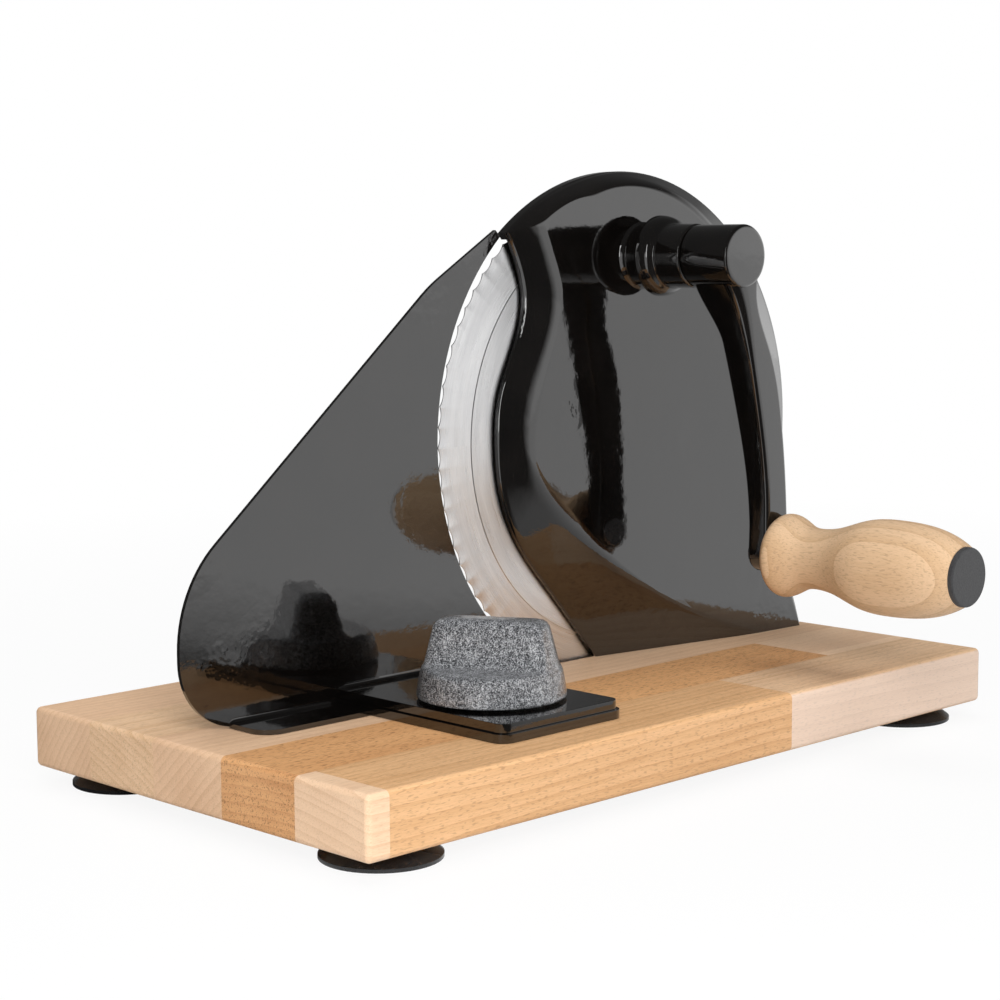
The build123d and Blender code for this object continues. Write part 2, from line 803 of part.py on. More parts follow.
with BuildPart() as crank_arm:
    with BuildSketch(facing(arm_front_v, crank_x, crank_z)):
        with BuildLine():
            left = Spline(
                (-0.8 * hub_radius, -0.35 * hub_radius),
                on_arm(-0.19, 0.105),
                on_arm(0.14, 0.272),
                on_arm(0.48, 0.54),
                on_arm(0.68, 0.79),
                (handle_reach_x - arm_end_radius, -handle_drop),
            )
            ThreePointArc(
                left @ 1,
                (handle_reach_x, -handle_drop - arm_end_radius),
                (handle_reach_x + arm_end_radius, -handle_drop),
            )
            right = Spline(
                (handle_reach_x + arm_end_radius, -handle_drop),
                on_arm(1.25, 0.75),
                on_arm(1.12, 0.55),
                on_arm(0.80, 0.32),
                on_arm(0.40, 0.12),
                (0.85 * hub_radius, -0.3 * hub_radius),
            )
            Line(right @ 1, left @ 0)
        make_face()
    extrude(amount=-(hub_length - arm_front_setback))
    # the arm grows thinner from the hub to the handle, on its rear side
    with BuildSketch(lathe(crank_x, crank_z, arm_front_v)):
        with BuildLine():
            rear = Spline(
                (-handle_drop * 0.10, -arm_top_depth),
                (-handle_drop * 0.30, -arm_knee_depth),
                (-handle_drop * 0.60, -(arm_knee_depth + arm_end_depth) / 2),
                (-handle_drop + 1.4 * arm_end_radius, -arm_end_depth),
            )
            Polyline(
                rear @ 1,
                (-handle_drop - 2 * arm_end_radius, -arm_end_depth),
                (-handle_drop - 2 * arm_end_radius, 0),
                (hub_radius, 0),
                (hub_radius, -arm_top_depth),
                rear @ 0,
            )
        make_face()
    extrude(amount=2 * handle_reach_x + hub_radius, both=True, mode=Mode.INTERSECT)
    with BuildSketch(lathe(crank_x, crank_z)):
        with BuildLine():
            Polyline(
                (0, -hub_back_v),
                (hub_radius, -hub_back_v),
                (hub_radius, -arm_front_v - hub_bevel),
                (hub_radius - hub_bevel, -hub_front_v),
                (0, -hub_front_v),
                close=True,
            )
        make_face()
    revolve(axis=crank_axis)
    with BuildSketch(facing(hub_back_v, crank_x, crank_z)):
        Circle(shaft_radius)
    extrude(amount=hub_back_v - shaft_front_v, mode=Mode.SUBTRACT)
    with BuildSketch(grub_plane.offset(-shaft_radius)):
        Circle(grub_radius)
    extrude(amount=2 * hub_radius, mode=Mode.SUBTRACT)
    with BuildSketch(facing(pin_back_v, handle_x, handle_z)):
        Circle(pin_radius)
    extrude(amount=arm_end_depth, mode=Mode.SUBTRACT)
save(crank_arm.part, "crank_arm")

with BuildPart() as grub_screw:
    with BuildSketch(grub_plane):
        Circle(grub_radius)
        RegularPolygon(0.5 * grub_radius, 6, mode=Mode.SUBTRACT)
    extrude(amount=grub_length)
    with BuildSketch(grub_plane):
        Circle(grub_radius)
    extrude(amount=grub_length / 2)
save(grub_screw.part, "grub_screw")

# ---------------------------------------------------------------- handle
with BuildPart() as handle_pin:
    with BuildSketch(facing(pin_back_v, handle_x, handle_z)):
        Circle(pin_foot_radius)
    extrude(amount=-pin_foot)
    fillet(handle_pin.edges().sort_by(Axis.Y)[-1], radius=0.6 * pin_foot)
    with BuildSketch(facing(pin_back_v, handle_x, handle_z)):
        Circle(pin_radius)
    extrude(amount=pin_back_v - nut_front_v)
save(handle_pin.part, "handle_pin")

with BuildPart() as pin_nut_part:
    with BuildSketch(facing(nut_floor_v - handle_gap, handle_x, handle_z)):
        RegularPolygon(pin_nut_radius, 6)
        Circle(pin_radius, mode=Mode.SUBTRACT)
    extrude(amount=pin_nut)
save(pin_nut_part.part, "pin_nut")

with BuildPart() as handle_washer:
    with BuildSketch(facing(arm_front_v, handle_x, handle_z)):
        Circle(handle_washer_radius)
        Circle(pin_radius, mode=Mode.SUBTRACT)
    extrude(amount=handle_washer_thickness)
save(handle_washer.part, "handle_washer")

with BuildPart() as handle_grip:
    with BuildSketch(lathe(handle_x, handle_z, grip_back_v)):
        with BuildLine():
            Polyline((grip_end_radius, grip_length), (0, grip_length), (0, 0), (grip_inner_radius, 0))
            Spline(
                (grip_inner_radius, 0),
                (grip_flare_radius, grip_flare_at),
                (grip_throat_radius, grip_throat_at),
                (grip_neck_radius, grip_neck_at),
                (grip_rise_radius, grip_rise_at),
                (grip_swell_radius, grip_swell_at),
                (grip_belly_radius, grip_belly_at),
                (grip_hip_radius, grip_hip_at),
                (grip_end_radius, grip_length),
            )
        make_face()
    revolve(axis=handle_axis)
    with BuildSketch(facing(grip_back_v, handle_x, handle_z)):
        Circle(pin_radius + running_play)
    extrude(amount=grip_length, mode=Mode.SUBTRACT)
    with BuildSketch(facing(grip_end_v, handle_x, handle_z)):
        Circle(nut_recess_radius)
    extrude(amount=-nut_recess, mode=Mode.SUBTRACT)
save(handle_grip.part, "handle_grip")

with BuildPart() as handle_cap:
    with BuildSketch(facing(grip_end_v, handle_x, handle_z)):
        Circle(cap_radius)
    extrude(amount=cap_thickness)
    fillet(handle_cap.edges().sort_by(Axis.Y)[0], radius=cap_bevel)
    with BuildSketch(facing(grip_end_v, handle_x, handle_z)):
        Circle(nut_recess_radius)
    extrude(amount=-cap_spigot)
save(handle_cap.part, "handle_cap")

# ---------------------------------------------------------------- fence
fence_arc_radius = blade_radius + fence_gap + sqrt(fence_shift_x**2 + fence_shift_z**2)
arc_x = blade_x + fence_shift_x
arc_z = blade_z + fence_shift_z
fence_left_x = blade_x - fence_left
brow_x = blade_x + fence_brow_x
brow_z = blade_z + fence_brow_z
shoulder_z = brow_z - (brow_x - fence_left_x) * tan(radians(fence_slope))


def on_fence_arc(angle):
    """Point of the fence's round cut-out, at an angle seen from the cut-out's centre."""
    return (
        arc_x + fence_arc_radius * cos(radians(angle)),
        arc_z + fence_arc_radius * sin(radians(angle)),
    )


toe_x = arc_x - sqrt(fence_arc_radius**2 - (arc_z - fence_bottom) ** 2)
nose = on_fence_arc(fence_nose_angle)
brow_top = (nose[0] - fence_nose_x, nose[1] + fence_nose_z)

with BuildPart() as fence_plate:
    with BuildSketch(facing(fence_back_v)):
        with BuildLine():
            FilletPolyline(
                brow_top,
                (brow_x, brow_z),
                (fence_left_x, shoulder_z),
                (fence_left_x, fence_bottom),
                (toe_x, fence_bottom),
                radius=(fence_brow_radius, fence_upper_radius, fence_lower_radius),
            )
            ThreePointArc((toe_x, fence_bottom), on_fence_arc(180), nose)
            Line(nose, brow_top)
        make_face()
    extrude(amount=fence_thickness)
    # flange that lies on the board
    with BuildSketch(level(fence_bottom, 0, middle_y)):
        with Locations((-fence_flange_left, fence_back_v - fence_thickness)):
            Rectangle(
                fence_flange_left - foot_left - glide_lip,
                fence_flange,
                align=(Align.MIN, Align.MAX),
            )
        fillet(vertices().sort_by(Axis.Y)[:2].sort_by(Axis.X)[0], radius=fence_flange_corner)
    extrude(amount=fence_thickness)
save(fence_plate.part, "fence_plate")

foot_middle_x = -(foot_left + foot_right) / 2
slot_middle_y = clamp_y + slice_travel / 2
slot_width = 2 * (stud_radius + stud_play)

with BuildPart() as fence_foot:
    with BuildSketch(level(glide_top)):
        with Locations((foot_middle_x, middle_y + blade_v)):
            Rectangle(foot_left - foot_right, foot_reach, align=(Align.CENTER, Align.MAX))
        fillet(vertices().sort_by(Axis.Y)[:2], radius=foot_corner)
        with Locations((clamp_x, slot_middle_y)):
            SlotOverall(slice_travel + slot_width, slot_width, rotation=90, mode=Mode.SUBTRACT)
        with Locations((clamp_x, clamp_y)):
            with GridLocations(rivet_spread, 0, 2, 1):
                Circle(rivet_radius, mode=Mode.SUBTRACT)
    extrude(amount=foot_thickness)
save(fence_foot.part, "fence_foot")

with BuildPart() as foot_glide:
    with BuildSketch(level(glide_top)):
        with Locations((foot_middle_x, middle_y + blade_v)):
            Rectangle(
                foot_left - foot_right + 2 * glide_lip,
                foot_reach + glide_lip,
                align=(Align.CENTER, Align.MAX),
            )
        fillet(vertices().sort_by(Axis.Y)[:2], radius=foot_corner + glide_lip)
        with Locations((clamp_x, slot_middle_y)):
            SlotOverall(slice_travel + slot_width, slot_width, rotation=90, mode=Mode.SUBTRACT)
        with Locations((clamp_x, clamp_y)):
            with GridLocations(rivet_spread, 0, 2, 1):
                Circle(rivet_radius, mode=Mode.SUBTRACT)
    extrude(amount=-glide_thickness)
save(foot_glide.part, "foot_glide")

with BuildPart() as fence_rivets:
    with BuildSketch(level(foot_top)):
        with Locations((clamp_x, clamp_y)):
            with GridLocations(rivet_spread, 0, 2, 1):
                Circle(rivet_radius)
    extrude(amount=-foot_thickness - glide_thickness)
save(fence_rivets.part, "fence_rivets")

# ---------------------------------------------------------------- clamp
knob_top = washer_top + knob_height
ledge = washer_top + knob_band

with BuildPart() as clamp_knob:
    with BuildSketch(level(washer_top, clamp_x, clamp_y)):
        Circle(knob_radius)
    with BuildSketch(level(ledge, clamp_x, clamp_y)):
        Circle(knob_radius - knob_band_taper)
    loft()
    fillet(clamp_knob.edges().sort_by(Axis.Z)[-1], radius=knob_rounding)
    with BuildSketch(level(ledge - knob_rounding, clamp_x, clamp_y)):
        RectangleRounded(knob_grip_length, knob_grip_width, 2 * knob_rounding, rotation=knob_grip_turn)
    with BuildSketch(level(knob_top, clamp_x, clamp_y)):
        RectangleRounded(
            knob_grip_top_length,
            knob_grip_top_width,
            2 * knob_rounding,
            rotation=knob_grip_turn,
        )
    loft()
    fillet(clamp_knob.faces().sort_by(Axis.Z)[-1].edges(), radius=knob_rounding)
    with BuildSketch(level(washer_top, clamp_x, clamp_y)):
        Circle(stud_radius)
    extrude(amount=stud_grip, mode=Mode.SUBTRACT)
save(clamp_knob.part, "clamp_knob")

with BuildPart() as clamp_stud:
    with BuildSketch(level(washer_top + stud_grip, clamp_x, clamp_y)):
        Circle(stud_radius)
    extrude(amount=-(washer_top + stud_grip - board_top + insert_length - 2))
    chamfer(clamp_stud.edges().sort_by(Axis.Z)[0], length=0.8)
save(clamp_stud.part, "clamp_stud")

with BuildPart() as clamp_washer:
    with BuildSketch(level(washer_top, clamp_x, clamp_y)):
        Circle(clamp_washer_radius)
        Circle(stud_radius, mode=Mode.SUBTRACT)
    extrude(amount=-clamp_washer_thickness)
save(clamp_washer.part, "clamp_washer")

with BuildPart() as clamp_insert:
    with BuildSketch(level(board_top, clamp_x, clamp_y)):
        Circle(insert_radius)
        Circle(stud_radius + running_play, mode=Mode.SUBTRACT)
    extrude(amount=-insert_length)
save(clamp_insert.part, "clamp_insert")
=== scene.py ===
"""Looks of the hand cranked bread slicer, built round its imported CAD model. Lengths in metres."""

import json
from math import cos, hypot, pi, radians, sin, sqrt

import bmesh
import bpy
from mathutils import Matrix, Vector


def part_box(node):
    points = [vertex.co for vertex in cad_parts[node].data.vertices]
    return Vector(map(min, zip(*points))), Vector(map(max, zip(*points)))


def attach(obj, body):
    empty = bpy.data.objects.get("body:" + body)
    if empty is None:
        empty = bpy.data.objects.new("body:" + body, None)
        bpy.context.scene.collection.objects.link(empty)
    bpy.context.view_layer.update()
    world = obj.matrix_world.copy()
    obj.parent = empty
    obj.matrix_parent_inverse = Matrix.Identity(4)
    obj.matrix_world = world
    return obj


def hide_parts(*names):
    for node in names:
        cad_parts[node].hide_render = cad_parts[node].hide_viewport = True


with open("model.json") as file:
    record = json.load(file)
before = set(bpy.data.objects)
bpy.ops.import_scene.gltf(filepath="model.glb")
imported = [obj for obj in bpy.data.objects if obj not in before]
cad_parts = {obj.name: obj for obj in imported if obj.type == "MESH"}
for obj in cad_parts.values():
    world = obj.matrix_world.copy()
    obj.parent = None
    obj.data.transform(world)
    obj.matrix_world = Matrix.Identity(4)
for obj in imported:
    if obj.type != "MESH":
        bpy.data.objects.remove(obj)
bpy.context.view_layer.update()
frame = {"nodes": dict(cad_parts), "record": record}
nodes = frame["nodes"]
MM = 0.001


# ---------------------------------------------------------------- node helpers
class Nodes:
    """Short ways to add nodes to a node tree."""

    def __init__(self, tree):
        self.tree = tree

    def node(self, kind, inputs=None, **settings):
        """One node, its settings, and its sockets set to values or linked."""
        node = self.tree.nodes.new(kind)
        for key, value in settings.items():
            setattr(node, key, value)
        for key, value in (inputs or {}).items():
            self.put(node.inputs[key], value)
        return node

    def put(self, socket, value):
        if isinstance(value, bpy.types.NodeSocket):
            self.tree.links.new(value, socket)
        else:
            socket.default_value = value

    def math(self, operation, *values, clamp=False):
        node = self.node("ShaderNodeMath", operation=operation, use_clamp=clamp)
        for socket, value in zip(node.inputs, values):
            self.put(socket, value)
        return node.outputs[0]

    def vector(self, operation, *values):
        node = self.node("ShaderNodeVectorMath", operation=operation)
        for socket, value in zip(node.inputs, values):
            self.put(socket, value)
        return node.outputs[1] if operation in ("LENGTH", "DOT_PRODUCT") else node.outputs[0]

    def distance(self, one, two):
        squares = [self.math("MULTIPLY", value, value) for value in (one, two)]
        return self.math("SQRT", self.math("ADD", *squares))

    def place(self):
        """Position in the piece's own coordinates, in millimetres."""
        coordinates = self.node("ShaderNodeTexCoord")
        return self.vector("MULTIPLY", coordinates.outputs["Object"], (1000, 1000, 1000))

    def stretched(self, place, scale, shift=(0, 0, 0)):
        node = self.node("ShaderNodeMapping", {"Vector": place, "Scale": scale, "Location": shift})
        return node.outputs[0]

    def noise(self, place, scale=1.0, detail=3.0, rough=0.5, distortion=0.0):
        node = self.node(
            "ShaderNodeTexNoise",
            {
                "Vector": place,
                "Scale": scale,
                "Detail": detail,
                "Roughness": rough,
                "Distortion": distortion,
            },
        )
        return node.outputs[0]

    def ramp(self, value, stops):
        """Colour ramp; stops are (position, (r, g, b))."""
        node = self.node("ShaderNodeValToRGB", {"Fac": value})
        elements = node.color_ramp.elements
        while len(elements) < len(stops):
            elements.new(0.5)
        for element, (position, colour) in zip(elements, stops):
            element.position = position
            element.color = (*colour, 1)
        return node.outputs[0]

    def fit(self, value, low, high, out_low=0.0, out_high=1.0):
        node = self.node(
            "ShaderNodeMapRange",
            {
                "Value": value,
                "From Min": low,
                "From Max": high,
                "To Min": out_low,
                "To Max": out_high,
            },
        )
        return node.outputs[0]

    def mix(self, share, one, two, blend="MIX"):
        node = self.node("ShaderNodeMix", data_type="RGBA", blend_type=blend)
        self.put(node.inputs[0], share)
        self.put(node.inputs[6], one if not isinstance(one, tuple) else (*one, 1))
        self.put(node.inputs[7], two if not isinstance(two, tuple) else (*two, 1))
        return node.outputs[2]

    def bump(self, height, strength, distance, normal=None):
        inputs = {"Height": height, "Strength": strength, "Distance": distance}
        if normal is not None:
            inputs["Normal"] = normal
        return self.node("ShaderNodeBump", inputs).outputs[0]


class Shader(Nodes):
    """A material with a Principled shader."""

    def __init__(self, name):
        self.material = bpy.data.materials.new(name)
        self.material.use_nodes = True
        super().__init__(self.material.node_tree)
        self.bsdf = self.tree.nodes["Principled BSDF"]

    def set(self, **values):
        for key, value in values.items():
            self.put(self.bsdf.inputs[key.replace("_", " ")], value)


# ---------------------------------------------------------------- materials
# paler colour painted on faces towards the front: painted light, for the brighter light on them
PAINTED_FRONT_LIGHT = (0.76, 0.65, 0.60)


def beech(name, light, dark, seed, pith, fleck, along="x", ring=3.0, rings_share=0.2, paler=0.0):
    """Oiled beech: growth rings round a pith, fine pores along the grain and short dark rays.

    The pith is where the rings have their centre, across the grain and up. Where a length faces
    the front, its colour is mixed by the share given towards a paler tone: painted light, for the
    brighter light that falls on the front faces.
    """
    s = Shader(name)
    place = s.place()
    if along == "y":
        axes = s.node("ShaderNodeSeparateXYZ", {"Vector": place}).outputs
        place = s.node("ShaderNodeCombineXYZ", {"X": axes[1], "Y": axes[0], "Z": axes[2]}).outputs[0]
    sway = s.noise(s.stretched(place, (0.006, 0.02, 0.02), (seed * 1.7, 0, 0)), 1.0, 2.0)
    axes = s.node("ShaderNodeSeparateXYZ", {"Vector": place}).outputs
    across = s.math("ADD", s.math("SUBTRACT", axes[1], pith[0]), s.fit(sway, 0.0, 1.0, -6.0, 6.0))
    up = s.math("SUBTRACT", axes[2], pith[1])
    reach = s.distance(across, up)
    drift = s.noise(s.math("DIVIDE", reach, 9.0), 1.0, 2.0)
    phase = s.math("ADD", s.math("DIVIDE", reach, ring), s.math("MULTIPLY", drift, 2.0))
    rings = s.math("POWER", s.math("FRACT", phase), 2.5)
    grain = s.vector("ADD", place, (seed * 37.0, 0, 0))
    fibre = s.noise(s.stretched(grain, (0.05, 2.2, 2.2)), 1.0, 4.0, 0.6)
    broad = s.noise(s.stretched(grain, (0.007, 0.06, 0.06)), 1.0, 3.0)
    dashes = s.fit(s.noise(s.stretched(grain, (0.38, 1.9, 1.9)), 1.0, 1.0, 0.4), 0.57, 0.67)
    pores = s.fit(s.noise(s.stretched(grain, (0.30, 5.0, 5.0)), 1.0, 2.0, 0.5), 0.56, 0.70)
    tone = s.math("ADD", s.math("MULTIPLY", rings, rings_share), s.math("MULTIPLY", fibre, 0.42))
    tone = s.math("ADD", tone, s.math("MULTIPLY", broad, 0.55 - 0.5 * rings_share))
    colour = s.ramp(tone, [(0.26, light), (0.78, dark)])
    colour = s.mix(s.math("MULTIPLY", dashes, fleck), colour, tuple(0.45 * c for c in dark))
    colour = s.mix(s.math("MULTIPLY", pores, 0.28), colour, tuple(0.6 * c for c in dark))
    if paler:
        # painted light: faces towards the front are mixed towards a paler tone, for the brighter
        # light that falls on them
        normal = s.node("ShaderNodeTexCoord").outputs["Normal"]
        front = s.fit(s.vector("DOT_PRODUCT", normal, (0.0, -1.0, 0.0)), 0.7, 0.9, 0.0, paler)
        colour = s.mix(front, colour, PAINTED_FRONT_LIGHT)
    s.set(Base_Color=colour, Roughness=s.fit(fibre, 0.3, 0.7, 0.42, 0.58), Specular_IOR_Level=0.35)
    height = s.math("SUBTRACT", s.math("MULTIPLY", fibre, 0.6), s.math("MULTIPLY", dashes, 0.5))
    s.set(Normal=s.bump(height, 0.2, 0.0004))
    return s.material


def enamel():
    """Black enamel on a casting: deep gloss, with the faint waves and pits of the poured coat."""
    s = Shader("black_enamel_look")
    place = s.place()
    waves = s.noise(place, 0.03, 2.0, 0.45)
    peel = s.noise(place, 0.30, 2.0, 0.5)
    patch = s.fit(s.noise(s.vector("ADD", place, (35, 0, 12)), 0.02, 1.0), 0.58, 0.68)
    lumps = s.math("MULTIPLY", s.noise(place, 0.20, 2.0, 0.5), patch)
    stops = [(0.3, (0.0016, 0.0013, 0.0011)), (0.7, (0.004, 0.0032, 0.0028))]
    colour = s.ramp(s.noise(place, 0.05, 3.0), stops)
    soft = s.bump(waves, 0.25, 0.0010)
    fine = s.bump(peel, 0.20, 0.00022, soft)
    s.set(
        Base_Color=colour,
        Roughness=s.fit(peel, 0.3, 0.7, 0.035, 0.07),
        IOR=1.7,
        Coat_Weight=0.8,
        Coat_Roughness=0.03,
        Normal=s.bump(lumps, 0.35, 0.0008, fine),
    )
    return s.material


def ground_steel(name, centre):
    """Stainless steel with circular grinding marks round an axis along Y."""
    s = Shader(name)
    place = s.vector("SUBTRACT", s.place(), tuple(centre))
    axes = s.node("ShaderNodeSeparateXYZ", {"Vector": place}).outputs
    reach = s.distance(axes[0], axes[2])
    angle = s.math("MULTIPLY", s.math("ARCTAN2", axes[2], axes[0]), 3.0)
    polar = s.node("ShaderNodeCombineXYZ", {"X": reach, "Y": angle, "Z": 0.0}).outputs[0]
    marks = s.noise(s.stretched(polar, (3.2, 0.9, 1)), 1.0, 4.0, 0.7)
    wide = s.noise(s.stretched(polar, (0.35, 0.7, 1)), 1.0, 3.0, 0.6)
    tone = s.math("ADD", s.math("MULTIPLY", marks, 0.5), s.math("MULTIPLY", wide, 0.5))
    colour = s.ramp(tone, [(0.30, (0.63, 0.63, 0.64)), (0.70, (0.90, 0.90, 0.90))])
    s.set(
        Base_Color=colour,
        Metallic=1.0,
        Roughness=s.fit(marks, 0.3, 0.7, 0.24, 0.42),
        Normal=s.bump(marks, 0.25, 0.0002),
    )
    return s.material


def metal(name, light, dark, rough):
    """Turned or plated metal with faint marks."""
    s = Shader(name)
    marks = s.noise(s.stretched(s.place(), (0.8, 4.8, 0.8)), 1.0, 3.0, 0.6)
    s.set(
        Base_Color=s.ramp(marks, [(0.35, dark), (0.65, light)]),
        Metallic=1.0,
        Roughness=s.fit(marks, 0.3, 0.7, rough - 0.06, rough + 0.10),
        Normal=s.bump(marks, 0.15, 0.0002),
    )
    return s.material


def hammered():
    """Hammered paint: silver specks swimming on black, over small soft dents."""
    s = Shader("hammered_look")
    place = s.place()
    inputs = {"Vector": place, "Scale": 0.7}
    cells = s.node("ShaderNodeTexVoronoi", inputs, feature="SMOOTH_F1").outputs[0]
    specks = s.noise(place, 2.3, 2.0, 0.7)
    tone = s.math("ADD", s.math("MULTIPLY", specks, 0.85), s.math("MULTIPLY", cells, 0.16))
    black, grey, silver = (0.03, 0.031, 0.034), (0.16, 0.165, 0.175), (0.58, 0.59, 0.61)
    colour = s.ramp(tone, [(0.38, black), (0.49, grey), (0.63, silver)])
    s.set(
        Base_Color=colour,
        Metallic=0.35,
        Roughness=s.fit(specks, 0.3, 0.7, 0.22, 0.42),
        Coat_Weight=0.6,
        Coat_Roughness=0.12,
        Normal=s.bump(s.math("ADD", cells, s.math("MULTIPLY", specks, 0.4)), 0.5, 0.0006),
    )
    return s.material


def plain(name, light, dark, rough, grain, depth):
    """Rubber or moulded plastic with a fine grain."""
    s = Shader(name)
    place = s.place()
    fine = s.noise(place, grain, 3.0, 0.6)
    wide = s.noise(place, 0.08, 2.0)
    tone = s.math("ADD", s.math("MULTIPLY", fine, 0.6), s.math("MULTIPLY", wide, 0.4))
    s.set(
        Base_Color=s.ramp(tone, [(0.35, dark), (0.65, light)]),
        Roughness=s.fit(wide, 0.3, 0.7, rough - 0.05, rough + 0.07),
        Normal=s.bump(fine, depth, 0.0003),
    )
    return s.material


def centre_of(node):
    low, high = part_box(node)
    return [500.0 * (low[axis] + high[axis]) for axis in range(3)]


# each finish's lighter and darker colour
PALE = ((0.86, 0.62, 0.42), (0.66, 0.42, 0.26))
BROWN = ((0.80, 0.50, 0.27), (0.52, 0.28, 0.12))
CREAM = ((0.82, 0.58, 0.38), (0.60, 0.37, 0.20))
GOLDEN = ((0.76, 0.43, 0.20), (0.50, 0.23, 0.09))
ROSE = ((0.80, 0.55, 0.36), (0.60, 0.37, 0.22))
GRIP = ((0.70, 0.49, 0.31), (0.52, 0.33, 0.18))
RUBBER = ((0.02, 0.02, 0.021), (0.008, 0.008, 0.009))
PLASTIC = ((0.06, 0.06, 0.062), (0.035, 0.035, 0.037))
ZINC = ((0.66, 0.66, 0.64), (0.46, 0.46, 0.45))
BRONZE = ((0.56, 0.38, 0.17), (0.38, 0.24, 0.10))
TURNED_STEEL = ((0.68, 0.68, 0.69), (0.48, 0.48, 0.50))
GEAR_STEEL = ((0.46, 0.46, 0.48), (0.28, 0.28, 0.30))
BRASS = ((0.80, 0.60, 0.26), (0.60, 0.42, 0.16))
LOOKS = {
    "beech_pale": beech("beech_pale_look", *PALE, 1, (0.0, -260.0), 0.16),
    "beech_brown": beech("beech_brown_look", *BROWN, 2, (-200.0, -90.0), 0.34),
    "beech_cream": beech("beech_cream_look", *CREAM, 3, (120.0, -120.0), 0.30, paler=0.5),
    "beech_golden": beech("beech_golden_look", *GOLDEN, 4, (-30.0, -300.0), 0.62),
    "beech_rose": beech("beech_rose_look", *ROSE, 5, (-90.0, -110.0), 0.15),
    "foot_rubber": plain("foot_rubber_look", *RUBBER, 0.24, 0.9, 0.12),
    "zinc_screws": metal("zinc_screws_look", *ZINC, 0.34),
    "black_enamel": enamel(),
    "bronze": metal("bronze_look", *BRONZE, 0.38),
    "turned_steel": metal("turned_steel_look", *TURNED_STEEL, 0.28),
    "gear_steel": metal("gear_steel_look", *GEAR_STEEL, 0.36),
    "brass": metal("brass_look", *BRASS, 0.28),
    "blade_steel": ground_steel("blade_steel_look", centre_of("blade")),
    "handle_beech": beech("handle_beech_look", *GRIP, 6, (200.0, 76.0), 0.30, "y", 5.0, 0.32),
    "cap_plastic": plain("cap_plastic_look", *PLASTIC, 0.55, 1.6, 0.25),
    "hammered_finish": hammered(),
}
slot_of = {entry["node"]: entry["material_slot"] for entry in frame["record"]["subparts"]}
for name, thing in nodes.items():
    for slot in thing.material_slots:
        slot.material = LOOKS[slot_of[name]]


# ---------------------------------------------------------------- mesh helpers
WELD = 0.002


def span(node):
    """Lowest and highest corners of a node at rest, in millimetres."""
    low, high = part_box(node)
    return Vector(low) / MM, Vector(high) / MM


def piece(name, points, faces, slot, body, stands_for=(), crease=35.0):
    """A named mesh from points in millimetres that rides on a body."""
    mesh = bpy.data.meshes.new(name)
    mesh.from_pydata([Vector(point) * MM for point in points], [], faces)
    shape = bmesh.new()
    shape.from_mesh(mesh)
    bmesh.ops.remove_doubles(shape, verts=shape.verts, dist=WELD * MM)
    bmesh.ops.recalc_face_normals(shape, faces=shape.faces)
    shape.to_mesh(mesh)
    shape.free()
    thing = bpy.data.objects.new(name, mesh)
    bpy.context.scene.collection.objects.link(thing)
    finish(thing, slot, body, stands_for, crease)
    return thing


def finish(thing, slot, body, stands_for=(), crease=35.0):
    """Material, smooth shading between creases, and the body that a piece rides on."""
    thing.data.materials.clear()
    thing.data.materials.append(LOOKS[slot])
    thing.data.shade_smooth()
    thing.data.set_sharp_from_angle(angle=radians(crease))
    if not thing.modifiers:
        level_faces = thing.modifiers.new("level_faces", "WEIGHTED_NORMAL")
        level_faces.keep_sharp = True
        level_faces.weight = 80
    if stands_for:
        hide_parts(*stands_for)
    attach(thing, body)


def skin(rings, cap_start=True, cap_end=True):
    """Points and faces over rings that have as many points each."""
    count = len(rings[0])
    points = [point for ring in rings for point in ring]
    faces = []
    for row in range(len(rings) - 1):
        for here in range(count):
            after = (here + 1) % count
            first, second = row * count, (row + 1) * count
            faces.append((first + here, first + after, second + after, second + here))
    if cap_start:
        faces.append(tuple(range(count)))
    if cap_end:
        faces.append(tuple((len(rings) - 1) * count + here for here in range(count)))
    return points, faces


def turned(axis_x, axis_z, profile, count=96, lean=None):
    """Rings of a shape turned round an axis along Y; the profile is (radius, v)."""
    rings = []
    for radius, v in profile:
        ring = []
        for step in range(count):
            turn = 2 * pi * step / count
            x = radius * cos(turn)
            shift = lean(x, v) if lean else 0.0
            ring.append((axis_x + x, middle_y + v + shift, axis_z + radius * sin(turn)))
        rings.append(ring)
    return rings


def spline(controls, per_segment):
    """Natural cubic through 2-D points, as many samples for each stretch between two of them."""
    count = len(controls)
    knots = [0.0]
    for one, two in zip(controls, controls[1:]):
        knots.append(knots[-1] + hypot(two[0] - one[0], two[1] - one[1]))
    curves = []
    for axis in (0, 1):
        value = [point[axis] for point in controls]
        gap = [knots[i + 1] - knots[i] for i in range(count - 1)]
        bend, lower, upper = [0.0] * count, [0.0] * count, [0.0] * count
        for i in range(1, count - 1):
            rate = (value[i + 1] - value[i]) / gap[i] - (value[i] - value[i - 1]) / gap[i - 1]
            pivot = 2 * (gap[i - 1] + gap[i]) - gap[i - 1] * upper[i - 1]
            upper[i] = gap[i] / pivot
            lower[i] = (6 * rate - gap[i - 1] * lower[i - 1]) / pivot
        for i in range(count - 2, 0, -1):
            bend[i] = lower[i] - upper[i] * bend[i + 1]
        curves.append((value, gap, bend))
    samples = []
    for i in range(count - 1):
        for step in range(per_segment):
            share = step / per_segment
            point = []
            for value, gap, bend in curves:
                after, before = share * gap[i], (1 - share) * gap[i]
                height = value[i] * (1 - share) + value[i + 1] * share
                height += bend[i] * (before**3 / gap[i] - gap[i] * before) / 6
                height += bend[i + 1] * (after**3 / gap[i] - gap[i] * after) / 6
                point.append(height)
            samples.append(tuple(point))
    samples.append(tuple(controls[-1]))
    return samples


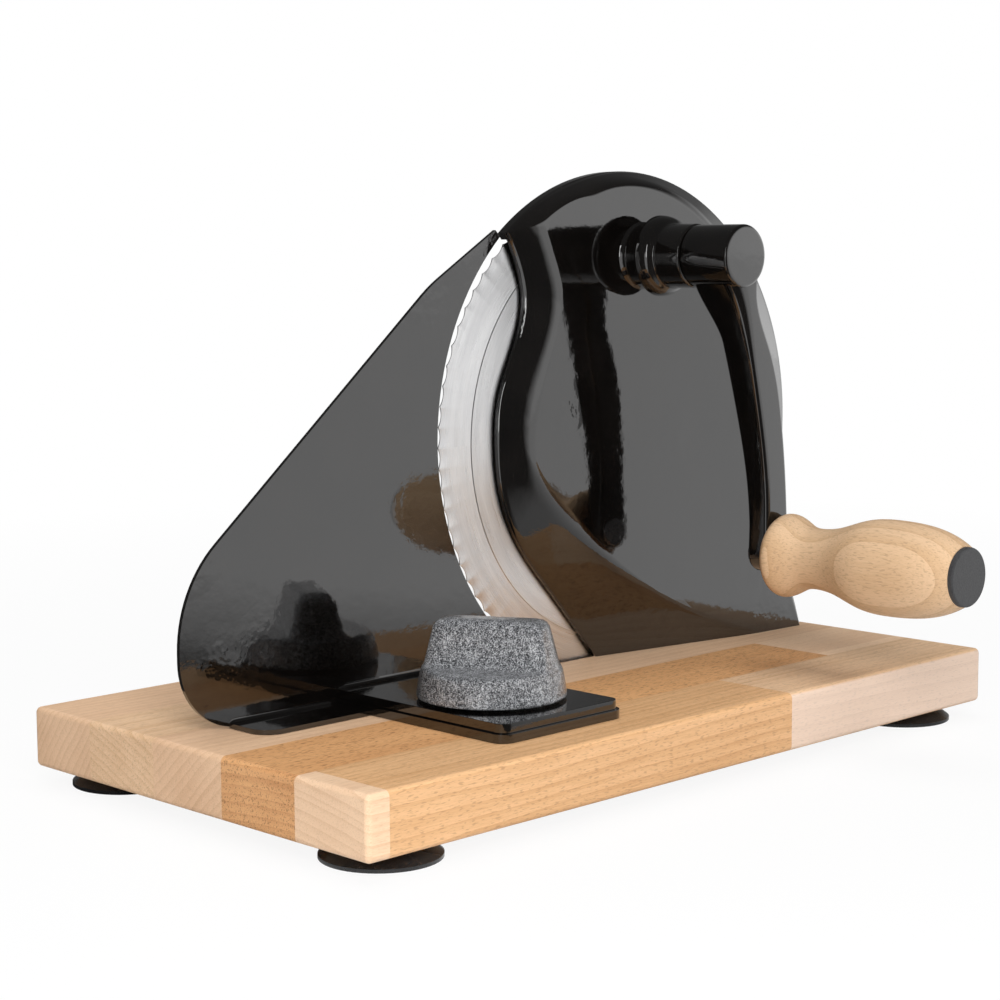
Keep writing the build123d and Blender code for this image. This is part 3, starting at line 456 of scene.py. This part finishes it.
def carve(thing, cutters):
    """Cut closed shapes, given as points and faces in millimetres, out of a piece."""
    thing.modifiers.clear()
    for points, faces in cutters:
        mesh = bpy.data.meshes.new("cutter")
        mesh.from_pydata([Vector(point) * MM for point in points], [], faces)
        shape = bmesh.new()
        shape.from_mesh(mesh)
        bmesh.ops.recalc_face_normals(shape, faces=shape.faces)
        shape.to_mesh(mesh)
        shape.free()
        cutter = bpy.data.objects.new("cutter", mesh)
        bpy.context.scene.collection.objects.link(cutter)
        cut = thing.modifiers.new("cut", "BOOLEAN")
        cut.operation = "DIFFERENCE"
        cut.solver = "EXACT"
        cut.object = cutter
        apply(thing)
        bpy.data.objects.remove(cutter)
        bpy.data.meshes.remove(mesh)


def apply(thing):
    """Turn what the modifiers make into the piece's own mesh."""
    depsgraph = bpy.context.evaluated_depsgraph_get()
    result = bpy.data.meshes.new_from_object(thing.evaluated_get(depsgraph))
    thing.modifiers.clear()
    old = thing.data
    thing.data = result
    bpy.data.meshes.remove(old)


FLAT_ANGLE, SHARP_ANGLE = 0.2, 28.0


def eased(node, slot, body, width, segments=3):
    """A copy of a node's solid whose sharp edges are rounded, in place of the node."""
    thing = bpy.data.objects.new(node + "_eased", nodes[node].data.copy())
    thing.matrix_world = nodes[node].matrix_world.copy()
    bpy.context.scene.collection.objects.link(thing)
    shape = bmesh.new()
    shape.from_mesh(thing.data)
    bmesh.ops.remove_doubles(shape, verts=shape.verts, dist=WELD * MM)
    flat = radians(FLAT_ANGLE)
    bmesh.ops.dissolve_limit(shape, angle_limit=flat, verts=shape.verts, edges=shape.edges)
    shape.to_mesh(thing.data)
    shape.free()
    round_over = thing.modifiers.new("ease", "BEVEL")
    round_over.width = width * MM
    round_over.segments = segments
    round_over.limit_method = "ANGLE"
    round_over.angle_limit = radians(SHARP_ANGLE)
    apply(thing)
    finish(thing, slot, body, (node,), 40.0)
    return thing


# ---------------------------------------------------------------- places from the frame
middle_y = (span("stave_1_main")[0][1] + span("stave_5")[1][1]) / 2
board_top = span("stave_3")[1][2]
blade_low, blade_high = span("blade")
blade_x, blade_z = (blade_low[0] + blade_high[0]) / 2, (blade_low[2] + blade_high[2]) / 2
# the box misses the tips of the teeth by this
tip_miss = 0.056
blade_radius = (blade_high[0] - blade_low[0]) / 2 + tip_miss
blade_v, blade_back_v = blade_low[1] - middle_y, blade_high[1] - middle_y
shaft_low, shaft_high = span("crank_shaft")
crank_x, crank_z = (shaft_low[0] + shaft_high[0]) / 2, (shaft_low[2] + shaft_high[2]) / 2
washer_low, washer_high = span("handle_washer")
handle_x, handle_z = (washer_low[0] + washer_high[0]) / 2, (washer_low[2] + washer_high[2]) / 2
arm_front_v = washer_high[1] - middle_y

# ---------------------------------------------------------------- housing
rim_width = 4.45
rim_radius = blade_radius + rim_width
recess_v = blade_v - 0.7
rim_v = blade_back_v + 0.2
face_v = blade_v - 12.0
face_slope = 0.05
face_radius = rim_radius - 25.9
face_drop = 4.2
face_centre = (-8.4, rim_radius - face_drop - face_radius)
face_angles = (-5.0, 129.0)
rim_angles = (0.0, 130.0)
tip_length = 3.6
base_z = board_top - blade_z
base_rear = (-15.6, 98.3)
base_face = (66.0, 96.8)
lip = 1.7
lip_round = 0.7
lip_turns = (35, 65)
crest_width = 3.5
left_crest, left_crest_more = 3.0, 0.8
crown_steps = 64
flank_steps, crest_steps = 9, 9
# runs of the left flank from the tip to the base, and of the right side from the base up, at
# the rear and at the face, in parts of the blade's radius from its centre
left_rear = (
    (-0.593, 0.648),
    (-0.574, 0.557),
    (-0.632, 0.344),
    (-0.704, 0.172),
    (-0.721, -0.004),
    (-0.698, -0.195),
    (-0.589, -0.424),
    (-0.443, -0.594),
)
left_front = (
    (-0.519, 0.715),
    (-0.480, 0.578),
    (-0.537, 0.336),
    (-0.600, 0.146),
    (-0.614, -0.054),
    (-0.538, -0.187),
    (-0.404, -0.317),
    (-0.126, -0.545),
)
right_rear = ((1.037, -0.769), (1.041, -0.496), (1.045, -0.159))
right_front = ((0.956, -0.769), (0.803, -0.496), (0.708, -0.159))


def scaled(table):
    return [(x * blade_radius, z * blade_radius) for x, z in table]


def on_circle(centre, radius, angle):
    return (centre[0] + radius * cos(radians(angle)), centre[1] + radius * sin(radians(angle)))


def housing_outline(flank, side, centre, radius, angles, base):
    """Outline from the left of the base, over the tip and the rim, down to the base's right."""
    tip_end = on_circle(centre, radius - tip_length, angles[1])
    left = spline([(base[0], base_z), *reversed(scaled(flank)), tip_end], 8)
    sweep = angles[0] - angles[1]
    crown = []
    for step in range(crown_steps + 1):
        crown.append(on_circle(centre, radius, angles[1] + sweep * step / crown_steps))
    right = spline([crown[-1], *reversed(scaled(side)), (base[1], base_z)], 8)
    return left, crown, right[1:]


def smooth_min(one, two, reach):
    """Lesser of two heights, with a soft turn between them."""
    near = max(reach - abs(one - two), 0.0) / reach
    return min(one, two) - near * near * reach / 4


def face_height(x):
    """How far the face stands in front of the recess at x from the blade's centre."""
    return recess_v - face_v + face_slope * x


def crest_of(part, share):
    """Width of the soft turn from flank to face; wider on the left flank, but for its tip."""
    if part > 0:
        return crest_width
    return left_crest + left_crest_more * min((1 - share) / 0.12, 1.0)


def housing_form():
    """Dished casting: a lip by the blade, straight flanks, a soft crest and a flat face."""
    rear = housing_outline(left_rear, right_rear, (0, 0), rim_radius, rim_angles, base_rear)
    front = housing_outline(
        left_front, right_front, face_centre, face_radius, face_angles, base_face
    )
    rails = []
    for part, (back, fore) in enumerate(zip(rear, front)):
        for number, (one, two) in enumerate(zip(back, fore)):
            width = hypot(two[0] - one[0], two[1] - one[1])
            rails.append((one, two, width, crest_of(part, number / (len(back) - 1))))

    def on_rail(rail, inward, height):
        """Point so far in from the rear outline, and so high over the recess."""
        one, two, width, _ = rail
        x = one[0] + (two[0] - one[0]) * inward / width
        z = one[1] + (two[1] - one[1]) * inward / width
        return (blade_x + x, middle_y + recess_v - height, blade_z + z)

    rings = []
    for height in (recess_v - rim_v, lip - lip_round):
        rings.append([on_rail(rail, 0.0, height) for rail in rails])
    for angle in lip_turns:
        inward = lip_round * (1 - cos(radians(angle)))
        height = lip - lip_round * (1 - sin(radians(angle)))
        rings.append([on_rail(rail, inward, height) for rail in rails])
    for step in range(flank_steps + crest_steps + 1):
        ring = []
        for rail in rails:
            one, two, width, crest = rail
            turn_in = max(width - crest, 0.3 * width)
            if step < flank_steps:
                inward = lip_round + (turn_in - lip_round) * step / flank_steps
            else:
                past = (step - flank_steps) / crest_steps
                inward = turn_in + (width + crest - turn_in) * past
            face = face_height(one[0] + (two[0] - one[0]) * inward / width)
            steep = (face_height(two[0]) - lip) / width
            height = face
            if step < flank_steps + crest_steps:
                height = smooth_min(lip + steep * inward, face, max(steep * crest, 0.5))
            ring.append(on_rail(rail, inward, height))
        rings.append(ring)
    return skin(rings)


def drum(x, z, radius, v_from, v_to, count=128):
    """Closed round cutter along Y."""
    return skin(turned(x, z, ((radius, v_from), (radius, v_to)), count))


gear_low, gear_high = span("blade_gear")
pinion_low, pinion_high = span("pinion")
gear_pocket = (gear_high[0] - gear_low[0]) / 2 + 2.5
pinion_pocket = (pinion_high[0] - pinion_low[0]) / 2 + 2.0
pocket_v = gear_low[1] - middle_y - 1.1
bore_radius = 7.55
neck_radius = 11.6
collar_radius = 15.2
collar_v = face_v - 8.6
collar_length = 6.6
sleeve_radius = 11.9
sleeve_end_v = span("crank_bush")[0][1] - middle_y

housing_body = piece(
    "housing_casting", *housing_form(), "black_enamel", "root", ("housing",), 50.0
)
carve(
    housing_body,
    [
        drum(blade_x, blade_z, blade_radius + 1.5, recess_v, rim_v + 1),
        drum(blade_x, blade_z, gear_pocket, pocket_v, recess_v + 0.5),
        drum(crank_x, crank_z, pinion_pocket, pocket_v, recess_v + 0.4),
        drum(crank_x, crank_z, bore_radius, face_v - 3, pocket_v + 0.5, 64),
    ],
)
finish(housing_body, "black_enamel", "root", (), 50.0)


def boss_lean(x, v):
    """The boss's foot follows the slope of the face."""
    return -face_slope * x * min(max((v - face_v + 4.0) / 3.0, 0.0), 1.0)


boss_profile = [
    (bore_radius, pocket_v),
    (neck_radius + 1.6, face_v + 0.9),
    (neck_radius + 1.1, face_v - 0.1),
    (neck_radius + 0.35, face_v - 0.9),
    (neck_radius, face_v - 2.0),
    (neck_radius, collar_v),
    (collar_radius - 1.1, collar_v),
    (collar_radius - 0.35, collar_v - 0.12),
    (collar_radius, collar_v - 0.55),
    (collar_radius - 0.12, collar_v - 1.1),
]
for share in (0.3, 0.45, 0.6, 0.72, 0.82, 0.9, 0.96):
    swell = sqrt(1 - share * share) * (collar_radius - sleeve_radius)
    boss_profile.append((sleeve_radius + swell, collar_v - collar_length * share))
boss_profile += [
    (sleeve_radius + 0.35, collar_v - collar_length * 1.04),
    (sleeve_radius, collar_v - collar_length * 1.15),
    (sleeve_radius, sleeve_end_v + 0.9),
    (sleeve_radius - 0.3, sleeve_end_v + 0.3),
    (sleeve_radius - 0.9, sleeve_end_v),
    (bore_radius, sleeve_end_v),
    (bore_radius, pocket_v),
]
piece(
    "crank_boss",
    *skin(turned(crank_x, crank_z, boss_profile, 128, boss_lean), False, False),
    "black_enamel",
    "root",
    ("housing",),
    60.0,
)

# ---------------------------------------------------------------- crank arm
hub_low, hub_high = span("crank_arm")
hub_back_v, hub_front_v = hub_high[1] - middle_y, hub_low[1] - middle_y
hub_radius = 11.5
arm_end_radius = 7.0
reach, drop = handle_x - crank_x, crank_z - handle_z
arm_round = 2.1
arm_roll_at_hub = 6.0
arm_left = ((-0.43, 0.036), (-0.19, 0.105), (0.14, 0.272), (0.48, 0.54), (0.68, 0.79), (0.671, 1.0))
arm_right = ((0.459, 0.031), (0.40, 0.12), (0.80, 0.32), (1.12, 0.55), (1.25, 0.75), (1.329, 1.0))
arm_depths = ((0.10, 20.4), (0.30, 13.6), (0.60, 11.5), (0.90, 9.4))


def crossing(curve, z):
    """The curve's x at a height, on a run of points that goes down."""
    for one, two in zip(curve, curve[1:]):
        if one[1] >= z >= two[1] and one[1] != two[1]:
            return one[0] + (two[0] - one[0]) * (one[1] - z) / (one[1] - two[1])
    return curve[-1][0] if z < curve[-1][1] else curve[0][0]


def arm_outline():
    """Left and right edge of the arm, level by level from the hub to the round end."""
    left = spline([(reach * x, -drop * z) for x, z in arm_left], 12)
    right = spline([(reach * x, -drop * z) for x, z in arm_right], 12)
    levels = [-0.5 * hub_radius - (drop - 0.5 * hub_radius) * step / 60 for step in range(61)]
    edges = [(crossing(left, z), crossing(right, z), z) for z in levels]
    for step in range(1, 17):
        turn = radians(90 * step / 16.4)
        half = arm_end_radius * cos(turn)
        edges.append((reach - half, reach + half, -drop - arm_end_radius * sin(turn)))
    return edges


def arm_depth(z):
    """Depth of the arm below the hub at a height from the crank's axis."""
    share = -z / drop
    if share <= arm_depths[0][0]:
        return arm_depths[0][1]
    for (one, deep), (two, less) in zip(arm_depths, arm_depths[1:]):
        if share <= two:
            blend = (share - one) / (two - one)
            blend = blend * blend * (3 - 2 * blend) if one == arm_depths[0][0] else blend
            return deep + (less - deep) * blend
    return arm_depths[-1][1]


def arm_form():
    """Arm whose front and rear edges are rolled over."""
    edges = arm_outline()
    outline = [(left, z) for left, _, z in edges] + [(right, z) for _, right, z in reversed(edges)]
    count = len(outline)
    inward = []
    for here in range(count):
        before, after = outline[here - 1], outline[(here + 1) % count]
        if here in (0, count - 1):
            inward.append((0.0, 0.0))
            continue
        dx, dz = after[0] - before[0], after[1] - before[1]
        length = hypot(dx, dz)
        inward.append((-dz / length, dx / length))
    rolls = []
    for number, (x, z) in enumerate(outline):
        near_hub = max(1 + z / 42.0, 0.0) if number < count // 2 else 0.0
        rolls.append(arm_round + arm_roll_at_hub * near_hub**1.5)
    made = []
    for step in range(7):
        turn = radians(90 * step / 6)
        ring = []
        for (x, z), (nx, nz), roll in zip(outline, inward, rolls):
            offset, depth = roll * (1 - sin(turn)), roll * (1 - cos(turn))
            v = arm_front_v + depth
            ring.append((crank_x + x + nx * offset, middle_y + v, crank_z + z + nz * offset))
        made.append(ring)
    for offset, rear in ((0.0, 1.5), (0.44, 0.44), (1.5, 0.0)):
        ring = []
        for (x, z), (nx, nz) in zip(outline, inward):
            v = arm_front_v + arm_depth(z) - rear
            ring.append((crank_x + x + nx * offset, middle_y + v, crank_z + z + nz * offset))
        made.append(ring)
    points, faces = skin(made, False, False)
    last = (len(made) - 1) * count
    for here in range(count // 2 - 1):
        there = count - 1 - here
        faces.append((here, here + 1, there - 1, there))
        faces.append((last + here, last + here + 1, last + there - 1, last + there))
    return points, faces


piece("crank_arm_forging", *arm_form(), "black_enamel", "crank", ("crank_arm",), 55.0)
hub_profile = (
    (0.01, hub_back_v),
    (hub_radius - 0.6, hub_back_v),
    (hub_radius, hub_back_v - 0.6),
    (hub_radius, hub_front_v + 1.3),
    (hub_radius - 0.15, hub_front_v + 0.75),
    (hub_radius - 0.45, hub_front_v + 0.3),
    (hub_radius - 1.0, hub_front_v + 0.05),
    (hub_radius - 1.6, hub_front_v),
    (0.01, hub_front_v),
)
hub = piece(
    "crank_hub",
    *skin(turned(crank_x, crank_z, hub_profile, 96), False, False),
    "black_enamel",
    "crank",
    ("crank_arm",),
    60.0,
)
grub_y = middle_y + hub_back_v - 8.0
grub_radius, grub_depth, grub_sides = 2.5, 6.3, 32
grub_hole = []
for x in (crank_x + hub_radius - grub_depth, crank_x + hub_radius + 1.0):
    ring = []
    for step in range(grub_sides):
        turn = 2 * pi * step / grub_sides
        ring.append((x, grub_y + grub_radius * cos(turn), crank_z + grub_radius * sin(turn)))
    grub_hole.append(ring)
carve(hub, [skin(grub_hole)])
finish(hub, "black_enamel", "crank", (), 60.0)

# ---------------------------------------------------------------- blade
tooth_count, tooth_depth = 80, 1.1
points_per_tooth = 10
bore = 8.55
ground_from = blade_radius - 15.5
edge_v = blade_back_v - 0.5
flute_length, flute_depth = 3.4, 0.20
gear_screw_circle, gear_screw_hole = 30.0, 3.2


def blade_form():
    """Disc with a hollow ground bevel and a scalloped edge, each scallop a shallow flute."""
    count = tooth_count * points_per_tooth
    flat = (bore, 20.0, 27.0, 40.0, 60.0, ground_from)
    shares = (0.02, 0.15, 0.3, 0.45, 0.58, 0.68, 0.76, 0.83, 0.89, 0.94, 0.98, 1.0)
    rings = []
    for radius in flat:
        rings.append([(radius, blade_v)] * count)
    bevel = []
    for share in shares:
        ring = []
        for step in range(count):
            phase = (step % points_per_tooth) / points_per_tooth
            hollow = sin(pi * phase) ** 0.8 if phase else 0.0
            rim = blade_radius - tooth_depth * hollow
            radius = ground_from + (rim - ground_from) * share
            v = blade_v + (edge_v - blade_v) * (0.18 * min(share / 0.02, 1) + 0.82 * share)
            near = max(1 - (rim - radius) / flute_length, 0.0)
            v = min(v + flute_depth * hollow * near, blade_back_v - 0.12)
            ring.append((radius, v))
        bevel.append(ring)
    rings += bevel
    back = [(radius, blade_back_v) for radius, _ in bevel[-1]]
    rings.append(back)
    rings += [[(radius, blade_back_v)] * count for radius in (60.0, 27.0, bore)]
    made = []
    for ring in rings:
        made.append(
            [
                (
                    blade_x + radius * cos(2 * pi * step / count),
                    middle_y + v,
                    blade_z + radius * sin(2 * pi * step / count),
                )
                for step, (radius, v) in enumerate(ring)
            ]
        )
    made.append(made[0])
    return skin(made, False, False)


blade = piece("blade_disc", *blade_form(), "blade_steel", "blade", ("blade",), 30.0)
screw_holes = []
for number in range(3):
    turn = radians(90 + 120 * number)
    spot_x = blade_x + gear_screw_circle * cos(turn)
    spot_z = blade_z + gear_screw_circle * sin(turn)
    hole = drum(spot_x, spot_z, gear_screw_hole, blade_v - 0.5, blade_back_v + 0.5, 40)
    screw_holes.append(hole)
carve(blade, screw_holes)
finish(blade, "blade_steel", "blade", (), 30.0)

# ---------------------------------------------------------------- clamp knob
knob_low, knob_high = span("clamp_knob")
knob_x, knob_y = (knob_low[0] + knob_high[0]) / 2, (knob_low[1] + knob_high[1]) / 2
knob_foot = knob_low[2]
knob_turn = -60.0


def knob_form():
    """Round foot that rises into a wide grip bar, all its edges soft.

    Each row has its height, its radius and half the width of the bar there.
    """
    far = 60.0
    c, s = cos(radians(knob_turn)), sin(radians(knob_turn))
    rows = (
        (0.0, 24.9, far),
        (0.25, 25.35, far),
        (0.9, 25.5, far),
        (5.0, 24.9, far),
        (8.6, 24.2, 24.2),
        (9.5, 23.9, 22.6),
        (10.1, 23.6, 20.0),
        (10.35, 23.4, 16.5),
        (10.6, 23.2, 13.0),
        (11.1, 23.0, 11.0),
        (12.2, 22.7, 9.9),
        (14.0, 22.2, 9.3),
        (18.0, 21.2, 8.3),
        (21.5, 20.3, 7.5),
        (23.6, 19.7, 6.9),
        (25.0, 18.8, 6.1),
        (25.9, 17.4, 5.0),
        (26.35, 15.6, 3.6),
        (26.5, 13.0, 2.2),
        (26.5, 9.0, 0.9),
    )
    count = 120
    rings = []
    for z, radius, half in rows:
        ring = []
        for step in range(count):
            turn = 2 * pi * step / count
            across = abs(sin(turn))
            strip = half / across if across > 1e-6 else 1e6
            out = smooth_min(radius, strip, 2.6) if half < far else radius
            x, y = out * cos(turn), out * sin(turn)
            ring.append((knob_x + x * c - y * s, knob_y + x * s + y * c, knob_foot + z))
        rings.append(ring)
    return skin(rings)


piece("knob_casting", *knob_form(), "hammered_finish", "knob", ("clamp_knob",), 60.0)

# ---------------------------------------------------------------- fence and its foot
eased("fence_plate", "black_enamel", "fence", 0.45)
eased("fence_foot", "black_enamel", "fence", 0.9, 4)
eased("foot_glide", "black_enamel", "fence", 1.0, 4)
foot_low, foot_high = span("fence_foot")
flange_left_x, flange_top = -134.0, span("fence_plate")[0][2] + 1.5
cove = 1.6
cove_swell = ((0.0, 0.02), (0.012, 0.5), (0.03, 0.85), (0.06, 1.0), (0.94, 1.0), (1.0, 1.0))


def cove_strip(x_from, x_to, floor_z):
    """Hollow fillet in the corner between the fence and what lies at its foot."""
    rings = []
    for share, swell in cove_swell:
        x = x_from + (x_to - x_from) * share
        ring = [(x, middle_y + blade_v + 0.3, floor_z - 0.3)]
        for step in range(9):
            turn = radians(90 * step / 8)
            v = blade_v - cove * swell * (1 - sin(turn))
            z = floor_z + cove * swell * (1 - cos(turn))
            ring.append((x, middle_y + v, z))
        rings.append(ring)
    return skin(rings)


flange_cove = cove_strip(flange_left_x, foot_low[0] - 0.9, flange_top)
foot_cove = cove_strip(foot_low[0] + 0.4, foot_high[0] - 0.4, foot_high[2])
piece("flange_fillet", *flange_cove, "black_enamel", "fence", ("fence_plate",), 50.0)
piece("foot_fillet", *foot_cove, "black_enamel", "fence", ("fence_foot",), 50.0)

# ---------------------------------------------------------------- stage
def lamp(name, size, power, place, target, mirrored=True):
    """A soft lamp that looks at a point, and whether glossy surfaces mirror it."""
    light = bpy.data.lights.new(name, "AREA")
    light.shape = "RECTANGLE"
    light.size, light.size_y = size
    light.energy = power
    thing = bpy.data.objects.new(name, light)
    thing.location = place
    thing.rotation_euler = (Vector(target) - Vector(place)).to_track_quat("-Z", "Y").to_euler()
    thing.visible_glossy = mirrored
    bpy.context.scene.collection.objects.link(thing)


lamp("key_lamp", (0.6, 0.6), 11.4, (-0.62, -0.75, 0.55), (0, 0, 0.08), False)
lamp("top_lamp", (1.4, 1.0), 15.0, (0.1, 0.0, 1.7), (0, 0, 0.0), False)
lamp("strip_lamp", (0.12, 1.1), 2.2, (-1.6, -0.8, 0.6), (0, 0, 0.12))
lamp("back_lamp", (1.2, 0.6), 7.0, (0.3, 1.5, 1.3), (0, 0, 0.1), False)

# the studio as the enamel mirrors it: a bright wall on the right, a narrow strip on the left
# and a faint one behind, each seen where a direction comes near enough to its own
TO_RIGHT, RIGHT_REACH = (0.80, -0.60, 0.0), (0.45, 0.75)
TO_LEFT, LEFT_REACH = (-0.92, -0.39, 0.0), (0.975, 0.99)
TO_BACK, BACK_REACH = (0.62, 0.78, 0.0), (0.70, 0.95)
BACK_SHARE = 0.12
DARK, BRIGHT = 0.06, 1.15

world = bpy.data.worlds.new("studio")
bpy.context.scene.world = world
world.use_nodes = True
sky = Nodes(world.node_tree)
direction = sky.node("ShaderNodeTexCoord").outputs["Generated"]
right_wall = sky.fit(sky.vector("DOT_PRODUCT", direction, TO_RIGHT), *RIGHT_REACH)
left_strip = sky.fit(sky.vector("DOT_PRODUCT", direction, TO_LEFT), *LEFT_REACH)
back_wall = sky.fit(sky.vector("DOT_PRODUCT", direction, TO_BACK), *BACK_REACH, 0.0, BACK_SHARE)
height = sky.node("ShaderNodeSeparateXYZ", {"Vector": direction}).outputs[2]
below_top = sky.fit(height, 0.15, 0.50, 1.0, 0.0)
walls = sky.math("MAXIMUM", right_wall, sky.math("MAXIMUM", left_strip, back_wall))
dim = sky.fit(sky.math("MULTIPLY", walls, below_top), 0.0, 1.0, DARK, BRIGHT)
ray = sky.node("ShaderNodeLightPath").outputs
seen = sky.math("MAXIMUM", ray["Is Camera Ray"], ray["Is Transmission Ray"])
studio = world.node_tree.nodes["Background"]
studio.inputs["Color"].default_value = (1, 1, 1, 1)
sky.put(studio.inputs["Strength"], sky.math("MAXIMUM", seen, dim))

# the floor goes white with the distance and mirrors the same walls
bpy.ops.mesh.primitive_plane_add(size=30.0, location=(0, 0, 0))
floor = bpy.context.object
floor.name = "floor"
paper = Shader("floor_look")
paper.set(Base_Color=(0.86, 0.86, 0.86, 1), Roughness=0.6)
spot = paper.place()
aim = paper.vector("NORMALIZE", spot)
near = paper.fit(paper.vector("DOT_PRODUCT", spot, TO_RIGHT), -40.0, 330.0)
right_side = paper.fit(paper.vector("DOT_PRODUCT", aim, TO_RIGHT), *RIGHT_REACH)
right_side = paper.math("MULTIPLY", near, right_side)
left_side = paper.fit(paper.vector("DOT_PRODUCT", aim, TO_LEFT), *LEFT_REACH)
back_side = paper.fit(paper.vector("DOT_PRODUCT", aim, TO_BACK), *BACK_REACH, 0.05, BACK_SHARE)
sides = paper.math("MAXIMUM", right_side, paper.math("MAXIMUM", left_side, back_side))
ray = paper.node("ShaderNodeLightPath").outputs
mirrored = paper.math("MULTIPLY", ray["Is Glossy Ray"], sides)
glow = paper.node("ShaderNodeEmission", {"Color": (1, 1, 1, 1)})
paper.put(glow.inputs["Strength"], paper.math("MAXIMUM", ray["Is Camera Ray"], mirrored))
far = paper.fit(paper.vector("LENGTH", spot), 260.0, 800.0, 0.90, 1.0)
white = paper.math("MULTIPLY", ray["Is Camera Ray"], far)
share = paper.math("MAXIMUM", white, ray["Is Glossy Ray"])
blend = paper.node("ShaderNodeMixShader", {"Fac": share})
paper.tree.links.new(paper.bsdf.outputs[0], blend.inputs[1])
paper.tree.links.new(glow.outputs[0], blend.inputs[2])
paper.put(paper.tree.nodes["Material Output"].inputs["Surface"], blend.outputs[0])
floor.data.materials.append(paper.material)

camera = bpy.data.cameras.new("camera")
camera.sensor_width = 36.0
camera.lens = 78.52
camera.shift_x = 0.0193
camera.shift_y = -0.0033
eye = bpy.data.objects.new("camera", camera)
eye.location = (-0.56814, -0.53008, 0.18751)
eye.rotation_euler = (radians(83.2451), radians(0.3322), radians(-44.3425))
bpy.context.scene.collection.objects.link(eye)
bpy.context.scene.camera = eye
bpy.context.scene.view_settings.view_transform = "Standard"
